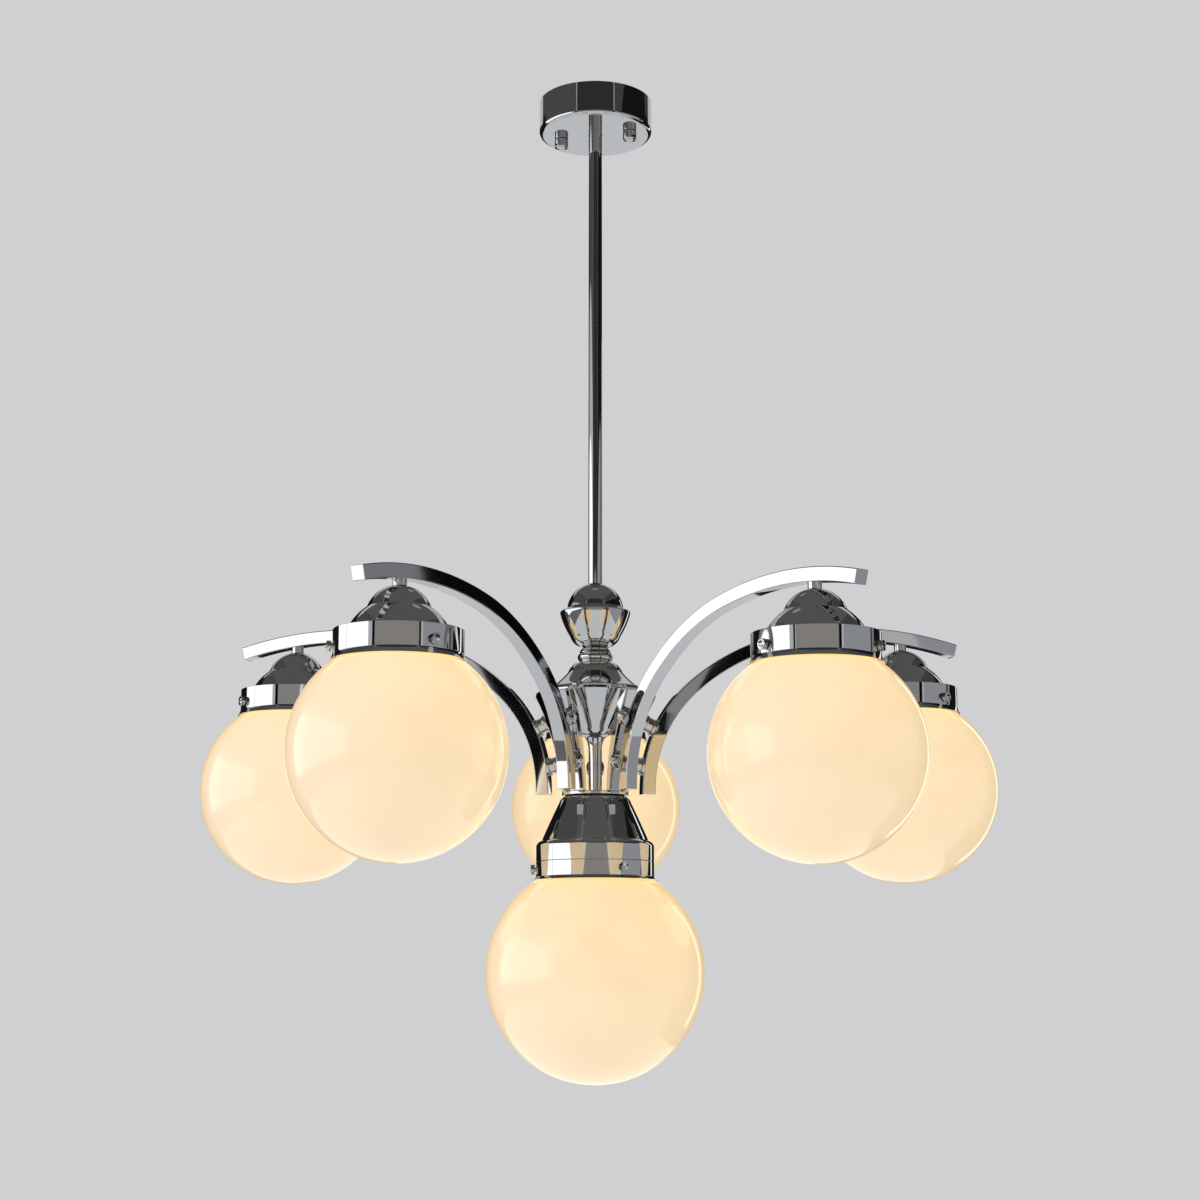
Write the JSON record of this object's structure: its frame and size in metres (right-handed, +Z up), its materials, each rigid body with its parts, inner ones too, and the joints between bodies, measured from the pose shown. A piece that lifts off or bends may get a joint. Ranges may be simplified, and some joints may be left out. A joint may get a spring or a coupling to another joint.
{
  "type": "branch chandelier",
  "caption": "Ceiling chandelier on a straight rod: curved square-bar arms with opal globes in stepped galleries round a turned hub, and a larger globe below.",
  "frame": {"origin": "the rod's axis at the ceiling plane, midway between the ceiling screws", "axes": "+Z up along the rod; one arm points to +Y, the back"},
  "size_m": [0.7707, 0.7522, 0.9422],
  "materials": {
    "chrome": "polished chrome plating",
    "opal_glass": "glossy opal glass, lit warm from inside",
    "bulb_glass": "opal bulb",
    "white_plastic": "moulded white plastic",
    "zinc_steel": "zinc-plated steel"
  },
  "bodies": {
    "fixture": {"ceiling_bracket": "zinc_steel", "terminal_block": "white_plastic", "down_rod": "chrome", "rod_nut": "zinc_steel", "tie_rod": "chrome", "ball_cap": "chrome", "spindle_cup": "chrome", "collar": "chrome", "bell_cover": "chrome", "column": "chrome", "stay_plate": "chrome", "stays": "chrome", "arm_spacers": "chrome", "lower_bell": "chrome", "centre_gallery": "chrome", "arm_1": "chrome", "arm_2": "chrome", "arm_3": "chrome", "arm_4": "chrome", "arm_5": "chrome", "arm_nipples": "chrome", "gallery_1": "chrome", "gallery_2": "chrome", "gallery_3": "chrome", "gallery_4": "chrome", "gallery_5": "chrome", "lampholders": "white_plastic"},
    "canopy": {"canopy": "chrome"},
    "canopy_nut_1": {"canopy_nut_1": "chrome"},
    "canopy_nut_2": {"canopy_nut_2": "chrome"},
    "globe_1": {"globe_1": "opal_glass"},
    "bulb_1": {"bulb_1": "bulb_glass"},
    "globe_2": {"globe_2": "opal_glass"},
    "bulb_2": {"bulb_2": "bulb_glass"},
    "globe_3": {"globe_3": "opal_glass"},
    "bulb_3": {"bulb_3": "bulb_glass"},
    "globe_4": {"globe_4": "opal_glass"},
    "bulb_4": {"bulb_4": "bulb_glass"},
    "globe_5": {"globe_5": "opal_glass"},
    "bulb_5": {"bulb_5": "bulb_glass"},
    "centre_globe": {"centre_globe": "opal_glass"},
    "centre_bulb": {"centre_bulb": "bulb_glass"},
    "screw_1a": {"screw_1a": "chrome"},
    "screw_1b": {"screw_1b": "chrome"},
    "screw_1c": {"screw_1c": "chrome"},
    "screw_2a": {"screw_2a": "chrome"},
    "screw_2b": {"screw_2b": "chrome"},
    "screw_2c": {"screw_2c": "chrome"},
    "screw_3a": {"screw_3a": "chrome"},
    "screw_3b": {"screw_3b": "chrome"},
    "screw_3c": {"screw_3c": "chrome"},
    "screw_4a": {"screw_4a": "chrome"},
    "screw_4b": {"screw_4b": "chrome"},
    "screw_4c": {"screw_4c": "chrome"},
    "screw_5a": {"screw_5a": "chrome"},
    "screw_5b": {"screw_5b": "chrome"},
    "screw_5c": {"screw_5c": "chrome"},
    "centre_screw_a": {"centre_screw_a": "chrome"},
    "centre_screw_b": {"centre_screw_b": "chrome"},
    "centre_screw_c": {"centre_screw_c": "chrome"}
  },
  "joints": [
    {"name": "canopy_slide", "type": "slide", "parent": "fixture", "child": "canopy", "axis": [0, 0, -1], "range_m": [0, 0.3]},
    {"name": "canopy_nut_1_turn", "type": "hinge", "parent": "canopy", "child": "canopy_nut_1", "pos_m": [0.03347, -0.01023, -0.038], "axis": [0, 0, 1], "continuous": true},
    {"name": "canopy_nut_2_turn", "type": "hinge", "parent": "canopy", "child": "canopy_nut_2", "pos_m": [-0.03347, 0.01023, -0.038], "axis": [0, 0, 1], "continuous": true},
    {"name": "globe_1_lower", "type": "slide", "parent": "fixture", "child": "globe_1", "axis": [0, 0, -1], "range_m": [0, 0.15]},
    {"name": "bulb_1_turn", "type": "hinge", "parent": "fixture", "child": "bulb_1", "pos_m": [0, 0.30815, -0.57283], "axis": [0, 0, 1], "continuous": true},
    {"name": "globe_2_lower", "type": "slide", "parent": "fixture", "child": "globe_2", "axis": [0, 0, -1], "range_m": [0, 0.15]},
    {"name": "bulb_2_turn", "type": "hinge", "parent": "fixture", "child": "bulb_2", "pos_m": [0.29765, 0.07976, -0.57283], "axis": [0, 0, 1], "continuous": true},
    {"name": "globe_3_lower", "type": "slide", "parent": "fixture", "child": "globe_3", "axis": [0, 0, -1], "range_m": [0, 0.15]},
    {"name": "bulb_3_turn", "type": "hinge", "parent": "fixture", "child": "bulb_3", "pos_m": [0.18113, -0.2493, -0.57283], "axis": [0, 0, 1], "continuous": true},
    {"name": "globe_4_lower", "type": "slide", "parent": "fixture", "child": "globe_4", "axis": [0, 0, -1], "range_m": [0, 0.15]},
    {"name": "bulb_4_turn", "type": "hinge", "parent": "fixture", "child": "bulb_4", "pos_m": [-0.15871, -0.26413, -0.57283], "axis": [0, 0, 1], "continuous": true},
    {"name": "globe_5_lower", "type": "slide", "parent": "fixture", "child": "globe_5", "axis": [0, 0, -1], "range_m": [0, 0.15]},
    {"name": "bulb_5_turn", "type": "hinge", "parent": "fixture", "child": "bulb_5", "pos_m": [-0.29307, 0.09522, -0.57283], "axis": [0, 0, 1], "continuous": true},
    {"name": "centre_globe_lower", "type": "slide", "parent": "fixture", "child": "centre_globe", "axis": [0, 0, -1], "range_m": [0, 0.15]},
    {"name": "centre_bulb_turn", "type": "hinge", "parent": "fixture", "child": "centre_bulb", "pos_m": [0, 0, -0.7262], "axis": [0, 0, 1], "continuous": true},
    {"name": "screw_1a_back_off", "type": "slide", "parent": "fixture", "child": "screw_1a", "axis": [0, -1, 0], "range_m": [0, 0.0025]},
    {"name": "screw_1b_back_off", "type": "slide", "parent": "fixture", "child": "screw_1b", "axis": [0.866, 0.5, 0], "range_m": [0, 0.0025]},
    {"name": "screw_1c_back_off", "type": "slide", "parent": "fixture", "child": "screw_1c", "axis": [-0.866, 0.5, 0], "range_m": [0, 0.0025]},
    {"name": "screw_2a_back_off", "type": "slide", "parent": "fixture", "child": "screw_2a", "axis": [0.6561, -0.7547, 0], "range_m": [0, 0.0025]},
    {"name": "screw_2b_back_off", "type": "slide", "parent": "fixture", "child": "screw_2b", "axis": [0.3256, 0.9455, 0], "range_m": [0, 0.0025]},
    {"name": "screw_2c_back_off", "type": "slide", "parent": "fixture", "child": "screw_2c", "axis": [-0.9816, -0.1908, 0], "range_m": [0, 0.0025]},
    {"name": "screw_3a_back_off", "type": "slide", "parent": "fixture", "child": "screw_3a", "axis": [0.9063, -0.4226, 0], "range_m": [0, 0.0025]},
    {"name": "screw_3b_back_off", "type": "slide", "parent": "fixture", "child": "screw_3b", "axis": [-0.0872, 0.9962, 0], "range_m": [0, 0.0025]},
    {"name": "screw_3c_back_off", "type": "slide", "parent": "fixture", "child": "screw_3c", "axis": [-0.8192, -0.5736, 0], "range_m": [0, 0.0025]},
    {"name": "screw_4a_back_off", "type": "slide", "parent": "fixture", "child": "screw_4a", "axis": [0.6018, -0.7986, 0], "range_m": [0, 0.0025]},
    {"name": "screw_4b_back_off", "type": "slide", "parent": "fixture", "child": "screw_4b", "axis": [0.3907, 0.9205, 0], "range_m": [0, 0.0025]},
    {"name": "screw_4c_back_off", "type": "slide", "parent": "fixture", "child": "screw_4c", "axis": [-0.9925, -0.1219, 0], "range_m": [0, 0.0025]},
    {"name": "screw_5a_back_off", "type": "slide", "parent": "fixture", "child": "screw_5a", "axis": [-0.8572, -0.515, 0], "range_m": [0, 0.0025]},
    {"name": "screw_5b_back_off", "type": "slide", "parent": "fixture", "child": "screw_5b", "axis": [0.8746, -0.4848, 0], "range_m": [0, 0.0025]},
    {"name": "screw_5c_back_off", "type": "slide", "parent": "fixture", "child": "screw_5c", "axis": [-0.0175, 0.9998, 0], "range_m": [0, 0.0025]},
    {"name": "centre_screw_a_back_off", "type": "slide", "parent": "fixture", "child": "centre_screw_a", "axis": [0.4848, -0.8746, 0], "range_m": [0, 0.003]},
    {"name": "centre_screw_b_back_off", "type": "slide", "parent": "fixture", "child": "centre_screw_b", "axis": [0.515, 0.8572, 0], "range_m": [0, 0.003]},
    {"name": "centre_screw_c_back_off", "type": "slide", "parent": "fixture", "child": "centre_screw_c", "axis": [-0.9998, 0.0175, 0], "range_m": [0, 0.003]}
  ]
}
